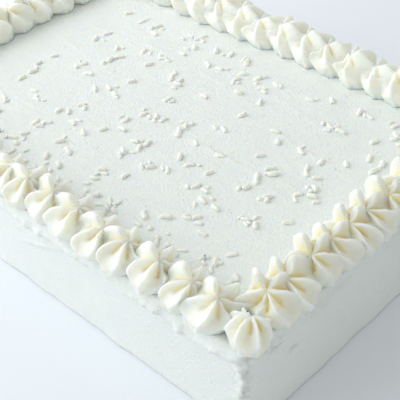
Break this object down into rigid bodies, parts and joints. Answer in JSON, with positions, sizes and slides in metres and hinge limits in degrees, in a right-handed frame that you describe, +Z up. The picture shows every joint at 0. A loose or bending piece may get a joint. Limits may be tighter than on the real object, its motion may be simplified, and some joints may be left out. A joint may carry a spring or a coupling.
{
  "type": "sheet cake",
  "caption": "Rectangular frosted sheet cake with a border of piped icing stars along its top edges and sugar sprinkles in the frosting.",
  "frame": {"origin": "middle of the flat underside, on the surface that the cake stands on", "axes": "+X along the long side, +Y along the short side, +Z up"},
  "size_m": [0.3573, 0.2544, 0.0873],
  "materials": {
    "frosting": "white buttercream spread with a palette knife: soft satin, fine pores and faint knife seams",
    "border_icing": "white buttercream piped through a large star nozzle: smooth satin petals with thin rims",
    "sprinkles": "white sugar sprinkles, dull and slightly waxy"
  },
  "bodies": {
    "root": {"cake": "frosting", "border_front": "border_icing", "border_back": "border_icing", "border_left": "border_icing", "border_right": "border_icing"}
  },
  "joints": []
}
